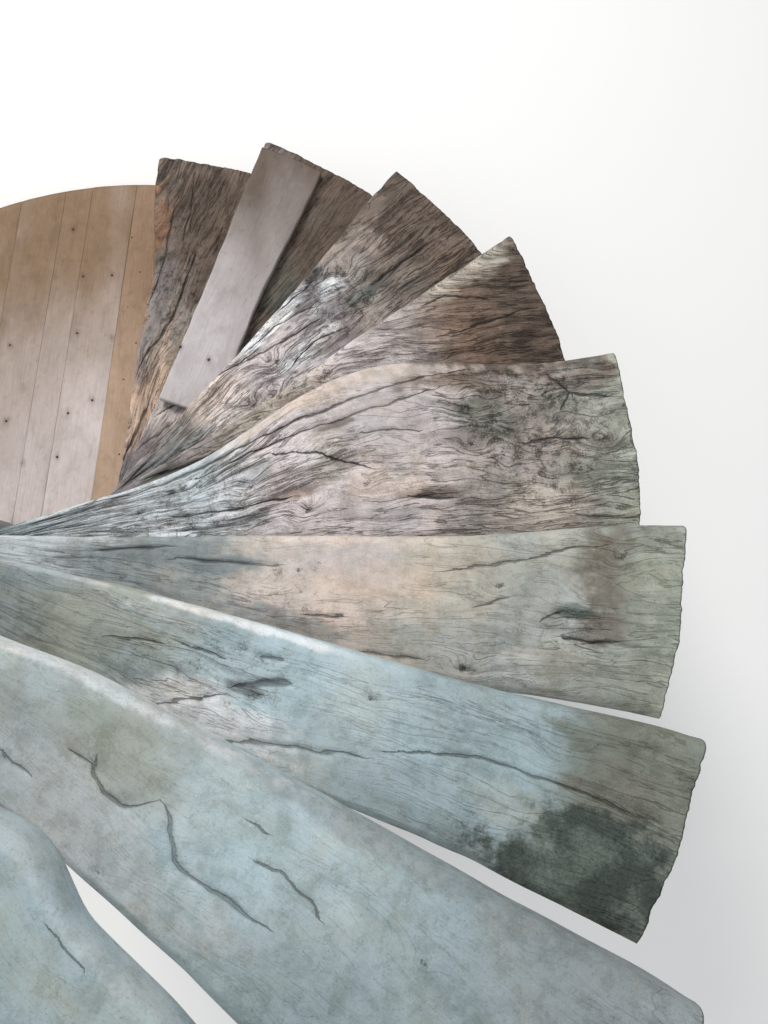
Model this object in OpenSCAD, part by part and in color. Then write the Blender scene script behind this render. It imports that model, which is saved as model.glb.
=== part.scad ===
// Winding stair of hewn timber treads stacked on their own newel drums, with a boarded landing.
// It climbs clockwise seen from above. Origin at the newel's foot on the ground, +Z up, +Y along
// the landing boards, +X over the sixth tread.

/* [Stair] */
// Height from one tread top to the next
rise = 190; // [160:1:230]
// Newel axis to the round wall that the treads run up to
stair_radius = 1410; // [1200:10:1600]
// Turn from one tread to the next, in degrees
step_angle = 16; // [15:0.1:17]
// Direction of the lowest tread's front edge at the wall, in degrees from +X
first_front_angle = 84.8; // [82:0.1:88]

/* [Treads] */
// Thickness of a tread's blade
tread_thickness = 95; // [70:1:110]
// Radius of the drum at the root of each tread
newel_radius = 62; // [50:1:75]
// Depth of the foot-worn hollow on an average tread
wear_depth = 11; // [4:1:18]
// Height of the sawn step down at a tread's rear arris
rear_arris = 9; // [4:1:14]
// Depth of the bites out of a ragged wall end
ragged_end = 5; // [1:1:12]
// How far a front edge flares forward at the wall, where no feet wear it
end_flare = 15; // [5:1:25]
// Extra depth of a blade where it grows out of its drum
root_haunch = 55; // [20:1:70]
// Depth of a blade's top below its drum's top where they meet
root_step = 3; // [1:0.5:6]
// Waviness left by the axe on a front edge and on an underside
hewn_wave = 4; // [1:1:8]

/* [Newer plank on tread 2] */
// Length of the plank
plank_length = 850; // [780:1:860]
// Width of the plank
plank_width = 200; // [160:1:205]
// Thickness of the plank
plank_thickness = 22; // [15:1:30]
// Newel axis to the plank's inner front corner
plank_start = 533; // [525:1:560]
// Turn of that corner behind the tread's front edge, in degrees
plank_setback = 1.9; // [1.5:0.1:2.5]
// Turn of the plank off the tread's front edge, in degrees
plank_skew = 2.3; // [1.5:0.1:3]
// Least gap between the plank's outer end and the wall
plank_gap = 40; // [15:1:60]

/* [Landing] */
// Newel axis to the wall ends of the landing boards
landing_radius = 1412; // [1250:1:1600]
// Direction of the landing boards, in degrees from +X
board_angle = 85.4; // [84:0.1:87]
// Thickness of the landing boards
board_thickness = 30; // [20:1:45]
// Open joint between two landing boards
board_joint = 3; // [1:0.5:6]
// Height of the bearers under the landing boards
bearer_height = 80; // [50:1:120]
// Width of a bearer
bearer_width = 70; // [50:1:100]
// Distance from the newel axis to the boards' inner ends
board_start = 50; // [20:1:60]
// Clearance where the strip is cut round the newel
newel_clearance = 0.3; // [0.1:0.1:3]
// Width of the older strip between the boards and the lowest tread
strip_width = 115; // [90:1:120]
// Newel axis to the joint between that strip and the first board
strip_joint = 129; // [120:1:140]

/* [Hidden] */

landing_top = bearer_height + board_thickness;

// One row for each tread, from the lowest up, with lengths in thousandths of stair_radius:
// turn of its front edge off the regular step, lap of its rear edge under the next tread,
// lead of its front edge beside the newel and at a quarter of its length, swell of its front
// edge with its centre and half length as shares of the blade, how worn it is, how far its
// outer front corner droops, and how far its wall end falls short at the front and the rear
TREADS = [
    [ 0.0,  0.8,   0,   0,  9, 0.95, 0.30, 1.3, 0,  6,  6],
    [-0.2,  0.8,   0,   0, 14, 0.98, 0.28, 0.9, 0,  0,  7],
    [-1.8,  0.6,   6,   0,  4, 0.55, 0.30, 1.1, 0,  0,  6],
    [-2.8,  0.5,  -2,   0,  6, 0.75, 0.30, 1.2, 0,  0, 36],
    [-4.1,  0.6,  10,   8, 92, 0.61, 0.41, 1.3, 0,  0, 20],
    [-5.1, -1.0,  -9,   0, -4, 0.45, 0.30, 1.2, 1,  4, 21],
    [-4.5, -0.5, -15,   6,  9, 0.53, 0.31, 1.1, 1, 16, 21],
    [-1.6,  0.8,   4, -26,  8, 0.33, 0.12, 1.0, 2,  0, 14],
    [-0.5,  0.6, -12,  10, 19, 0.44, 0.08, 0.9, 4,  5, 12],
    [ 0.8,  0.4,   4,  -6,  9, 0.60, 0.30, 1.0, 4,  3, 15],
    [-0.6,  0.6,  -4,   5, 16, 0.66, 0.25, 1.2, 6, 10, 18],
    [ 0.4,  0.3,   0,   0, -4, 0.50, 0.30, 0.9, 3,  5, 12],
    [-0.9,  0.5,   6,  -8, 12, 0.58, 0.20, 1.1, 5, 14, 20],
    [ 0.5,  0.6,  -3,   4,  7, 0.70, 0.25, 1.0, 4,  4, 16],
    [ 0.0,  0.4,   0,   0, 10, 0.60, 0.30, 0.8, 3,  9, 13]
];
TREAD_COUNT = len(TREADS);

// Cross-section of a blade from its front underside over the top to the rear underside:
// share of the width behind the front edge, and share of the depth below the top
SECTION = [
    [0.05, 1.00], [0.01, 0.84], [0.00, 0.62], [0.00, 0.40], [0.01, 0.22], [0.035, 0.10],
    [0.08, 0.03], [0.15, 0.00], [0.27, 0.00], [0.40, 0.00], [0.55, 0.00], [0.70, 0.00],
    [0.84, 0.00], [0.95, 0.01], [1.00, 0.10], [0.98, 0.94], [0.70, 1.00], [0.38, 1.00]
];
RING = len(SECTION);

// Stations along the blade from the drum to the wall, as shares of its length
STATIONS = [0.00, 0.08, 0.17, 0.26, 0.35, 0.44, 0.53, 0.62, 0.71, 0.80, 0.88, 0.95, 1.00];
STATION_COUNT = len(STATIONS);

// The newel and every tread root are turned about the same axis
drum_facets = 72;
// Root of a blade's front edge, inside the drum
root_radius = newel_radius * 0.6;
// Share of the newel radius at which the rear edge meets the drum
rear_root = 0.9;
// Share of a blade's length over which its root haunch runs out
haunch_reach = 0.28;
// How far a drooping corner is worn back, as a multiple of its droop, and over what share of
// the blade's length
corner_wear = 1.5;
corner_reach = 0.07;
// Share of a blade's length at which its front edge's second lead is greatest
lead_centre = 0.24;
// Share of a blade's length over which its front edge flares at the wall
flare_reach = 0.3;

function polar(radius, angle) = [radius * cos(angle), radius * sin(angle)];
function mix(a, b, share) = a + (b - a) * share;
function bell(x, centre, reach) =
    abs(x - centre) > reach ? 0 : pow(cos(90 * (x - centre) / reach), 2);
function thousandths(share) = share * stair_radius / 1000;
function tread_top(k) = landing_top + k * rise;
function front_angle(k) = first_front_angle - (k - 1) * step_angle + TREADS[k - 1][0];
function rear_angle(k) = (k < TREAD_COUNT ? front_angle(k + 1)
    : first_front_angle - k * step_angle) - TREADS[k - 1][1];

// Plan position on a blade, at a share of its length and a share of its width
function blade_plan(k, along, across) =
    let (
        row = TREADS[k - 1],
        front = front_angle(k),
        rear = rear_angle(k),
        inner = mix(
            polar(root_radius, front) + polar(thousandths(row[2]), front + 90),
            polar(newel_radius * rear_root, rear - 90),
            across),
        reach = stair_radius - thousandths(mix(row[9], row[10], across))
            - ragged_end * 0.5 * (1 - cos((430 + 31 * k) * across)),
        outer = polar(reach, mix(front, rear, across)),
        swell = thousandths(row[4]) * bell(along, row[5], row[6])
            + thousandths(row[3]) * bell(along, lead_centre, lead_centre)
            + end_flare * bell(along, 1, flare_reach)
            - corner_wear * thousandths(row[8]) * bell(along, 1, corner_reach)
            + hewn_wave * sin(700 * along + 83 * k) * sin(180 * along)
    )
    mix(inner, outer, along) + polar(swell * (1 - across), front + 90);

// Depth of a blade's top below its drum's top
function worn(k, along, across) =
    let (row = TREADS[k - 1])
    root_step
    + wear_depth * row[7] * bell(along, 0.56, 0.44) * bell(across, 0.22, 0.62)
    + thousandths(row[8]) * bell(along, 1, 0.22) * bell(across, 0, 0.6)
    + hewn_wave * 0.5 * (1 + sin(390 * along + 61 * k + 200 * across)) * sin(180 * along);

// Depth of a blade's underside below its drum's top
function blade_depth(along) = tread_thickness + root_haunch * bell(along, 0, haunch_reach);

// Corner of a blade's skin at a station and a row of the cross-section
function blade_point(k, along, row) =
    let (
        across = row[0],
        plan = blade_plan(k, along, across),
        is_under = row[1] > 0.8,
        is_rear_arris = across == 1,
        upper = worn(k, along, across) + (is_rear_arris ? rear_arris : row[1] * tread_thickness),
        under = row[1] * blade_depth(along)
            - hewn_wave * 0.5 * (1 - sin(530 * along + 47 * k + 160 * across)) * sin(180 * along)
    )
    [plan[0], plan[1], tread_top(k) - (is_under ? under : upper)];

// A closed skin over rings of points, with its quads split into triangles
module lofted_skin(points, rings, ring) {
    sides = [for (i = [0:rings - 2], j = [0:ring - 1])
        let (a = i * ring + j, b = i * ring + (j + 1) % ring, c = b + ring, d = a + ring)
        each [[a, c, b], [a, d, c]]];
    first_end = [for (j = [1:ring - 2]) [0, j, j + 1]];
    last_end = [for (j = [1:ring - 2])
        let (base = (rings - 1) * ring) [base, base + j + 1, base + j]];
    polyhedron(points = points, faces = concat(sides, first_end, last_end), convexity = 6);
}

// The drum at a tread's root: one rise of the newel
module drum(bottom, height) {
    translate([0, 0, bottom]) cylinder(r = newel_radius, h = height, $fn = drum_facets);
}

// One hewn log: the worn blade that is walked on and the drum at its root
module hewn_tread(k, timber) {
    points = [for (along = STATIONS, row = SECTION) blade_point(k, along, row)];
    color(timber) union() {
        drum(tread_top(k) - rise, rise);
        lofted_skin(points, STATION_COUNT, RING);
    }
}

// Foot of the newel, from the ground up to the landing's surface
module newel_foot() {
    color("dimgray") drum(0, landing_top);
}

// Thin newer plank laid on the worn second tread, with its inner corners square
module tread_plank_02() {
    corner = polar(plank_start, front_angle(2) - plank_setback);
    color("silver") intersection() {
        translate([corner[0], corner[1], tread_top(2) - root_step])
            rotate([0, 0, front_angle(2) + plank_skew])
                translate([0, -plank_width, 0])
                    cube([plank_length, plank_width, plank_thickness]);
        cylinder(r = stair_radius - plank_gap, h = tread_top(3), $fn = 180);
    }
}

// Landing boards, from the strip outwards, by their shares of the floor
BOARD_SHARES = [154, 92, 150, 138, 152, 132, 152, 144, 169];

function sum_to(list, n) = n == 0 ? 0 : list[n - 1] + sum_to(list, n - 1);
function board_edge(i) = mix(strip_joint, landing_radius,
    sum_to(BOARD_SHARES, i) / sum_to(BOARD_SHARES, len(BOARD_SHARES)));

// A stretch of the landing floor between two distances from the newel axis
module floor_stretch(near, far) {
    translate([0, 0, bearer_height]) linear_extrude(board_thickness) intersection() {
        rotate(board_angle) translate([-landing_radius, near])
            square([2 * landing_radius, far - near]);
        translate([-landing_radius, board_start]) square([2 * landing_radius, landing_radius]);
        circle(r = landing_radius, $fn = 240);
    }
}

module landing_board(i) {
    color("burlywood") floor_stretch(board_edge(i - 1) + board_joint, board_edge(i));
}

// Older strip at the foot of the lowest tread, cut round the newel
module landing_strip() {
    color("peru") difference() {
        floor_stretch(strip_joint - strip_width, strip_joint);
        cylinder(r = newel_radius + newel_clearance, h = landing_top + 1, $fn = drum_facets);
    }
}

// Bearers lie across under the boards, at the rows of nails
BEARER_COUNT = 6;
first_bearer = 165;
last_bearer_share = 0.87;
bearer_pitch = (landing_radius * last_bearer_share - first_bearer) / (BEARER_COUNT - 1);

module landing_bearer(i) {
    color("saddlebrown") intersection() {
        translate([-landing_radius, first_bearer + (i - 1) * bearer_pitch, 0])
            cube([landing_radius - newel_clearance, bearer_width, bearer_height]);
        cylinder(r = landing_radius, h = bearer_height, $fn = 240);
    }
}

newel_foot();
hewn_tread(1, "dimgray");  // tread_01
hewn_tread(2, "dimgray");  // tread_02
hewn_tread(3, "gray");  // tread_03
hewn_tread(4, "gray");  // tread_04
hewn_tread(5, "rosybrown");  // tread_05
hewn_tread(6, "rosybrown");  // tread_06
hewn_tread(7, "lightslategray");  // tread_07
hewn_tread(8, "lightslategray");  // tread_08
hewn_tread(9, "lightslategray");  // tread_09
hewn_tread(10, "gray");  // tread_10
hewn_tread(11, "gray");  // tread_11
hewn_tread(12, "gray");  // tread_12
hewn_tread(13, "gray");  // tread_13
hewn_tread(14, "gray");  // tread_14
hewn_tread(15, "gray");  // tread_15
tread_plank_02();
landing_strip();
landing_board(1);  // landing_board_1
landing_board(2);  // landing_board_2
landing_board(3);  // landing_board_3
landing_board(4);  // landing_board_4
landing_board(5);  // landing_board_5
landing_board(6);  // landing_board_6
landing_board(7);  // landing_board_7
landing_board(8);  // landing_board_8
landing_board(9);  // landing_board_9
landing_bearer(1);  // landing_bearer_1
landing_bearer(2);  // landing_bearer_2
landing_bearer(3);  // landing_bearer_3
landing_bearer(4);  // landing_bearer_4
landing_bearer(5);  // landing_bearer_5
landing_bearer(6);  // landing_bearer_6
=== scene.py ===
import math

import bpy
import numpy as np
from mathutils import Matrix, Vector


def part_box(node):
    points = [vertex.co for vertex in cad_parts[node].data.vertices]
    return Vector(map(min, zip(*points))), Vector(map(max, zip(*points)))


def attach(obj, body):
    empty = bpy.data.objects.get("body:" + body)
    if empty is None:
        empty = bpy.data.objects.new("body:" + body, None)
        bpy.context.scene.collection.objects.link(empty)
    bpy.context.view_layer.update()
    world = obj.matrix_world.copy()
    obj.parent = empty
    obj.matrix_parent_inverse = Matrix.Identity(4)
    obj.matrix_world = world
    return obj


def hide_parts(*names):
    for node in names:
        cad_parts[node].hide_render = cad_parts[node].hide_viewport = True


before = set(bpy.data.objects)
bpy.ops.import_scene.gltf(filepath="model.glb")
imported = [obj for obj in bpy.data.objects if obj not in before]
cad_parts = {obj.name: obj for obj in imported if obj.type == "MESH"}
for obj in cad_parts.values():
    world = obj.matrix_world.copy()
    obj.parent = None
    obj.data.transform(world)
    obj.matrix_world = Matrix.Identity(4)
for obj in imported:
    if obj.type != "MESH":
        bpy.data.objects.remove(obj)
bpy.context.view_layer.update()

# The view: a look straight down from above the eighth tread, tilted a little towards the
# landing, with a plain pale floor under the stair and soft light from all round.
scene = bpy.context.scene
scene.view_settings.view_transform = "Standard"
EYE = (0.8422, -0.2420, 2.6829)
EYE_TURN = (10.45, -0.17, -0.2)
LENS, SENSOR_WIDTH, NEAREST = 28.125, 36, 0.01
LAMP_AIM = (0.4, 0, 1.0)
AIR_COLOUR, AIR_STRENGTH = (0.93, 0.96, 1, 1), 0.49
FLOOR_HALF = 14

eye = bpy.data.objects.new("eye", bpy.data.cameras.new("eye"))
scene.collection.objects.link(eye)
eye.location = EYE
eye.rotation_euler = [math.radians(turn) for turn in EYE_TURN]
eye.data.sensor_width = SENSOR_WIDTH
eye.data.lens = LENS
eye.data.clip_start = NEAREST
scene.camera = eye


def soft_lamp(name, place, size, power, tone):
    """A round lamp that points at the middle of the stair."""
    lamp = bpy.data.objects.new(name, bpy.data.lights.new(name, "AREA"))
    scene.collection.objects.link(lamp)
    lamp.data.shape = "DISK"
    lamp.data.size = size
    lamp.data.energy = power
    lamp.data.color = tone
    lamp.location = place
    aim = [t - p for t, p in zip(LAMP_AIM, place)]
    flat = math.hypot(aim[0], aim[1])
    lamp.rotation_euler = (math.atan2(flat, -aim[2]), 0, math.atan2(aim[1], aim[0]) - math.pi / 2)


soft_lamp("side_lamp", (-1.6, 4.6, 5.6), size=2.6, power=310, tone=(1, 0.98, 0.95))
soft_lamp("high_lamp", (0.5, -3.5, 7.5), size=5.0, power=122, tone=(0.94, 0.98, 1))

world = bpy.data.worlds.new("soft_air")
scene.world = world
world.use_nodes = True
air = world.node_tree.nodes["Background"].inputs
air["Color"].default_value = AIR_COLOUR
air["Strength"].default_value = AIR_STRENGTH

floor_mesh = bpy.data.meshes.new("studio_floor")
floor_mesh.from_pydata(
    [(x * FLOOR_HALF, y * FLOOR_HALF, 0) for x, y in ((-1, -1), (1, -1), (1, 1), (-1, 1))],
    [], [(0, 1, 2, 3)])
studio_floor = bpy.data.objects.new("studio_floor", floor_mesh)
scene.collection.objects.link(studio_floor)


class Shade:
    """A socket of a material's node tree that takes Python arithmetic."""

    def __init__(self, tree, socket=None):
        self.tree, self.socket = tree, socket

    def node(self, kind, settings=None, inputs=None, output=0):
        """Adds a node of any kind: its settings first, then its sockets' values or links."""
        made = self.tree.nodes.new(kind)
        for key, value in (settings or {}).items():
            setattr(made, key, value)
        for key, value in (inputs or {}).items():
            if isinstance(value, Shade):
                self.tree.links.new(value.socket, made.inputs[key])
            else:
                made.inputs[key].default_value = value
        return Shade(self.tree, made.outputs[output])

    def maths(self, operation, *values):
        return self.node("ShaderNodeMath", {"operation": operation}, dict(enumerate(values)))

    def __add__(self, other):
        return self.maths("ADD", self, other)

    def __radd__(self, other):
        return self.maths("ADD", other, self)

    def __sub__(self, other):
        return self.maths("SUBTRACT", self, other)

    def __rsub__(self, other):
        return self.maths("SUBTRACT", other, self)

    def __mul__(self, other):
        return self.maths("MULTIPLY", self, other)

    def __rmul__(self, other):
        return self.maths("MULTIPLY", other, self)

    def __truediv__(self, other):
        return self.maths("DIVIDE", self, other)

    def __rtruediv__(self, other):
        return self.maths("DIVIDE", other, self)

    def __mod__(self, other):
        return self.maths("FLOORED_MODULO", self, other)

    def __rmod__(self, other):
        return self.maths("FLOORED_MODULO", other, self)

    def __abs__(self):
        return self.maths("ABSOLUTE", self)


    def between(self, low, high, start=0.0, end=1.0):
        """Takes low..high smoothly to start..end."""
        return self.node("ShaderNodeMapRange", {"interpolation_type": "SMOOTHSTEP"}, {
            "Value": self, "From Min": low, "From Max": high, "To Min": start, "To Max": end})

    def blend(self, first, second, how="MIX"):
        """Blends two colours by this share."""
        return self.node("ShaderNodeMix", {"data_type": "RGBA", "blend_type": how}, {
            "Factor": self, 6: first, 7: second}, output=2)

    def stretched(self, across):
        """This vector, or colour, with its three parts scaled."""
        return self.node("ShaderNodeVectorMath", {"operation": "MULTIPLY"}, {0: self, 1: across})

    def noise(self, detail=2.0, rough=0.5, warp=0.0):
        """Noise over this vector, about one bump to a unit."""
        return self.node("ShaderNodeTexNoise", {}, {
            "Vector": self, "Scale": 1.0, "Detail": detail, "Roughness": rough,
            "Distortion": warp})

    def stored(self, name):
        """A vector that the mesh holds for each of its points."""
        return self.node("ShaderNodeAttribute", {"attribute_name": name}, output=1)

    def parts(self):
        """The three parts of this vector."""
        split = self.node("ShaderNodeSeparateXYZ", {}, {"Vector": self})
        return [Shade(self.tree, part) for part in split.socket.node.outputs]


def paint(sheen):
    """A colour written as it looks, 0 to 255, as linear light."""
    return tuple((c / 255 / 12.92 if c <= 10 else ((c / 255 + 0.055) / 1.055) ** 2.4)
                 for c in sheen) + (1.0,)


def finish_of(name, build, specular=0.35):
    """A material whose colour, roughness, bump height and its depth come from build(shade)."""
    material = bpy.data.materials.new(name)
    material.use_nodes = True
    tree = material.node_tree
    shader = tree.nodes["Principled BSDF"]
    shader.inputs["Specular IOR Level"].default_value = specular
    colour, roughness, height, depth = build(Shade(tree))
    tree.links.new(colour.socket, shader.inputs["Base Color"])
    tree.links.new(roughness.socket, shader.inputs["Roughness"])
    bump = height.node("ShaderNodeBump", {}, {
        "Strength": 1.0, "Distance": depth, "Height": height})
    tree.links.new(bump.socket, shader.inputs["Normal"])
    return material


def floor_look(shade):
    dust = shade.node("ShaderNodeTexNoise", {}, {"Scale": 3.0, "Detail": 4.0})
    tone = dust.between(0.3, 0.7).blend(paint((251, 250, 248)), paint((248, 247, 245)))
    return tone, dust.between(0.2, 0.8, 0.86, 0.94), dust, 0.0002


floor_mesh.materials.append(finish_of("studio_floor", floor_look, 0.2))

# The bearers. Rough sawn softwood joists that lie on the ground, one under each row of the
# boards' nails. They end at the middle of the newel, and are cut to the landing's round edge.
LANDING_RADIUS = 1.412
BEARER_COUNT = 6
BEARER_BROWN = (112, 92, 76)
# How deep the saw's marks are and the pine's fine relief looks, and how far inside a cut end is
SAW_MARK = 0.0008
PINE_BUMP = 0.0008
INSIDE = 0.0005


def ripple(x, y, seed):
    """Smooth noise of about -1 to 1 with one bump to a unit."""
    xi, yi = np.floor(x).astype(np.int64), np.floor(y).astype(np.int64)
    fx, fy = x - xi, y - yi
    u, v = (f * f * f * (f * (f * 6 - 15) + 10) for f in (fx, fy))

    def corner(i, j):
        h = ((xi + i) * 374761393 + (yi + j) * 668265263 + seed * 144269504) & 0x7FFFFFFF
        h = ((h ^ (h >> 13)) * 1274126177) & 0x7FFFFFFF
        turn = ((h ^ (h >> 16)) & 4095) * (2 * np.pi / 4096)
        return np.cos(turn) * (fx - i) + np.sin(turn) * (fy - j)

    low = corner(0, 0) * (1 - u) + corner(1, 0) * u
    high = corner(0, 1) * (1 - u) + corner(1, 1) * u
    return 1.5 * (low * (1 - v) + high * v)


def tone_of(*sheen):
    """A colour as a mesh holds it for each of its points."""
    return np.array(paint(sheen)[:3])


def eased_bar(inner, outer, low, high, count, ease=0.0016):
    """A board's section: places across and heights, round from its near underside."""
    top = np.linspace(0, 1, count)
    across = np.concatenate([
        [inner + ease, inner, inner], inner + ease + (outer - inner - 2 * ease) * top,
        [outer, outer, outer - ease], (inner + (outer - inner) * np.array([0.66, 0.33]))])
    height = np.concatenate([[low, low + ease, high - ease], np.full(count, high),
                             [high - ease, low + ease, low], [low, low]])
    return across, height


def spread(along, across, height):
    """Points from places along, across and up a bar."""
    return np.stack([along, across + 0 * along, height + 0 * along], -1)


def skin_mesh(name, rings, attributes):
    """A mesh over rings of points, closed by a fan at each end, with its attributes."""
    count, ring = rings.shape[:2]
    points = rings.reshape(-1, 3)
    i, j = np.meshgrid(np.arange(count - 1), np.arange(ring), indexing="ij")
    a, b = i * ring + j, i * ring + (j + 1) % ring
    quads = np.stack([a, b, b + ring, a + ring], -1).reshape(-1, 4)
    hubs = np.stack([rings[0].mean(0), rings[-1].mean(0)])
    n = len(points)
    j = np.arange(ring)
    first = np.stack([(j + 1) % ring, j, np.full(ring, n)], -1)
    last = np.stack([(count - 1) * ring + j, (count - 1) * ring + (j + 1) % ring,
                     np.full(ring, n + 1)], -1)
    fans = np.concatenate([first, last])
    mesh = bpy.data.meshes.new(name)
    mesh.vertices.add(n + 2)
    mesh.vertices.foreach_set("co", np.concatenate([points, hubs]).astype(np.float32).ravel())
    mesh.loops.add(quads.size + fans.size)
    mesh.loops.foreach_set("vertex_index", np.concatenate([quads.ravel(), fans.ravel()]))
    mesh.polygons.add(len(quads) + len(fans))
    starts = np.concatenate([np.arange(len(quads)) * 4, quads.size + np.arange(len(fans)) * 3])
    mesh.polygons.foreach_set("loop_start", starts)
    mesh.polygons.foreach_set("use_smooth", np.ones(len(starts), bool))
    mesh.update(calc_edges=True)
    for key, values in attributes.items():
        values = values.reshape(-1, 3)
        values = np.concatenate([values, values[:1], values[-1:]])
        layer = mesh.attributes.new(key, "FLOAT_VECTOR", "POINT")
        layer.data.foreach_set("vector", values.astype(np.float32).ravel())
    return mesh


def bar_mesh(name, rings, tone, grain):
    """A bar's mesh, from rings that go round the other way."""
    return skin_mesh(name, rings[:, ::-1], {"tone": tone[:, ::-1], "grain": grain[:, ::-1]})


def layered(colour, layers):
    """Lays shares of scaled colours over a colour: of a base, or of the colour so far."""
    for share, base, scale in layers:
        colour = share.blend(colour, (base or colour).stretched(scale))
    return colour


def pine_look(shade):
    tone, grain = shade.stored("tone"), shade.stored("grain")
    rings = grain.stretched((1.6, 34, 30)).noise(3.0, 0.55, 0.8)
    lines = grain.stretched((5, 260, 260)).noise(3.0, 0.6)
    dust = grain.stretched((34, 44, 44)).noise(5.0, 0.7)
    grime = grain.stretched((9, 13, 13)).noise(4.0, 0.6, 0.5)
    figure = abs(((rings * 9.0) % 1.0) - 0.5) * 2
    colour = layered(tone, [
        (figure.between(0.55, 1.0, 0.0, 0.5), tone, (0.84, 0.80, 0.76)),
        (lines.between(0.5, 0.78, 0.0, 0.5), tone, (0.78, 0.74, 0.71)),
        (grime.between(0.5, 0.72, 0.0, 0.5), tone, (0.66, 0.64, 0.62)),
        (grime.between(0.45, 0.3, 0.0, 0.5), tone, (1.14, 1.14, 1.16)),
        (dust.between(0.52, 0.75, 0.0, 0.6), tone, (0.66, 0.64, 0.62)),
        (dust.between(0.47, 0.28, 0.0, 0.5), tone, (1.18, 1.18, 1.2))])
    return colour, 0.6 + 0.2 * dust, lines * 0.4 - figure * 0.25 + dust * 0.5, PINE_BUMP


pine = finish_of("planed_pine", pine_look, 0.3)


def joined(name, meshes, material, node):
    """One piece from its meshes, riding on the stair in place of its CAD node."""
    parts = [bpy.data.objects.new(name, mesh) for mesh in meshes]
    for part in parts:
        scene.collection.objects.link(part)
        part.data.materials.append(material)
    if len(parts) > 1:
        with bpy.context.temp_override(active_object=parts[0], selected_editable_objects=parts):
            bpy.ops.object.join()
    piece = parts[0]
    piece.name = name
    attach(piece, "root")
    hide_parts(node)


for i in range(1, BEARER_COUNT + 1):
    low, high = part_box(f"landing_bearer_{i}")
    name = f"sawn_bearer_{i}"
    across, height = eased_bar(low.y, high.y, 0.0, high.z, 8, 0.003)
    reach = np.sqrt(LANDING_RADIUS ** 2 - across ** 2) - INSIDE
    share = np.linspace(0, 1, 60)[:, None]
    along = -reach + (reach - 0.0006) * share
    rings = spread(along, across, height)
    saw_marks = SAW_MARK * (1 + ripple(along / 0.02, across / 0.08 + 0 * along, 700 + i))
    rings[..., 1] += saw_marks * np.sign((low.y + high.y) / 2 - across)
    cloud = 1 + 0.25 * ripple(along / 0.15, across / 0.03, 720 + i)
    mesh = bar_mesh(name, rings, tone_of(*BEARER_BROWN) * cloud[..., None],
                    spread(along + i, across, height))
    joined(name, [mesh], pine, f"landing_bearer_{i}")

# The landing's boards. Pale planed pine, each board nailed down to the bearers through its
# face, stained round its nails, with narrow dusty joints; browner towards the rim as painted warm
# light and shade.
BOARD_ANGLE = 85.4
BOARD_START = 0.050
BOARD_LOW, BOARD_HIGH = (corner.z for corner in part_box("landing_board_1"))
BOARD_SHARES = [154, 92, 150, 138, 152, 132, 152, 144, 169]
# The boards' pale tone, the brown towards the rim that is painted warm light and shade, and the
# stain round a nail
BOARD_PALE, BOARD_WARM_SHADE, NAIL_STAIN = (214, 202, 198), (140, 115, 90), (92, 72, 62)
# The boards' start from the newel's middle, their dusty joints, and how deep they are dished
STRIP_JOINT = 0.129
DUST_JOINT = 0.0012
BOARD_DISH = 0.0012
# The nails in plan, the radius of a head, how deep it is sunk, and its margin to an edge
NAILS = [
    (-0.232, 1.241), (-0.282, 1.065), (-0.185, 1.064), (-0.086, 1.068), (-0.192, 0.856),
    (-0.072, 0.837), (-0.417, 0.813), (-0.126, 0.617), (-0.204, 0.572), (-0.408, 0.545),
    (-0.230, 0.421), (-0.341, 0.404), (-0.52, 1.065), (-0.66, 0.84), (-0.56, 0.60),
    (-0.78, 0.61), (-0.93, 0.62), (-0.90, 0.85), (-0.50, 0.405), (-0.70, 0.41), (-0.95, 0.40),
    (-1.15, 0.41), (-1.10, 0.62), (-0.50, 0.19), (-0.75, 0.20), (-1.00, 0.19), (-1.25, 0.20),
    (-0.22, 0.20), (-0.36, 0.19)]
NAIL_RADIUS = 0.0042
NAIL_SINK = 0.0012
NAIL_BROWN = (74, 62, 56)
NAIL_MARGIN = 0.012


def smooth(x, low, high):
    """A smooth step from 0 at low to 1 at high."""
    x = np.clip((x - low) / (high - low), 0, 1)
    return x * x * (3 - 2 * x)


def polar(radius, angle):
    """A place in plan at a radius and an angle in degrees."""
    return np.stack([radius * np.cos(np.radians(angle)), radius * np.sin(np.radians(angle))], -1)


def plank_tones(place, dirt_and_shade_share, stains, seed, pale, brown, stain):
    """A board's tone: browner towards its outer end, as painted warm light and shade on the landing
    and as dirt on the plank; cloudy, and dark round its nails.
    """
    cloud = ripple(place[..., 0] / 0.13, place[..., 1] / 0.35, seed)
    cloud = cloud + 0.5 * ripple(place[..., 0] / 0.05, place[..., 1] / 0.12, seed + 1)
    share = np.clip(dirt_and_shade_share + 0.16 * cloud, 0, 1)[..., None]
    tone = pale + (brown - pale) * share
    for x, y in stains:
        gap = np.hypot((place[..., 0] - x) / 0.008, (place[..., 1] - y) / 0.012)
        tone = tone + (stain - tone) * (0.6 * np.exp(-gap * gap))[..., None]
    return tone


def nail_heads(name, places, height, radius=NAIL_RADIUS):
    """Low domed nail heads, a little proud of the timber."""
    meshes = []
    turns = np.linspace(0, 2 * np.pi, 10, endpoint=False)
    for x, y in places:
        rings = np.array([[(x + r * radius * math.cos(t), y - r * radius * math.sin(t), height + z)
                           for t in turns]
                          for r, z in ((1, -0.001), (1, 0.0003), (0.75, 0.0008), (0.3, 0.001))])
        iron = {"tone": 0 * rings + tone_of(*NAIL_BROWN), "grain": rings}
        meshes.append(skin_mesh(name, rings, iron))
    return meshes


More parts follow.
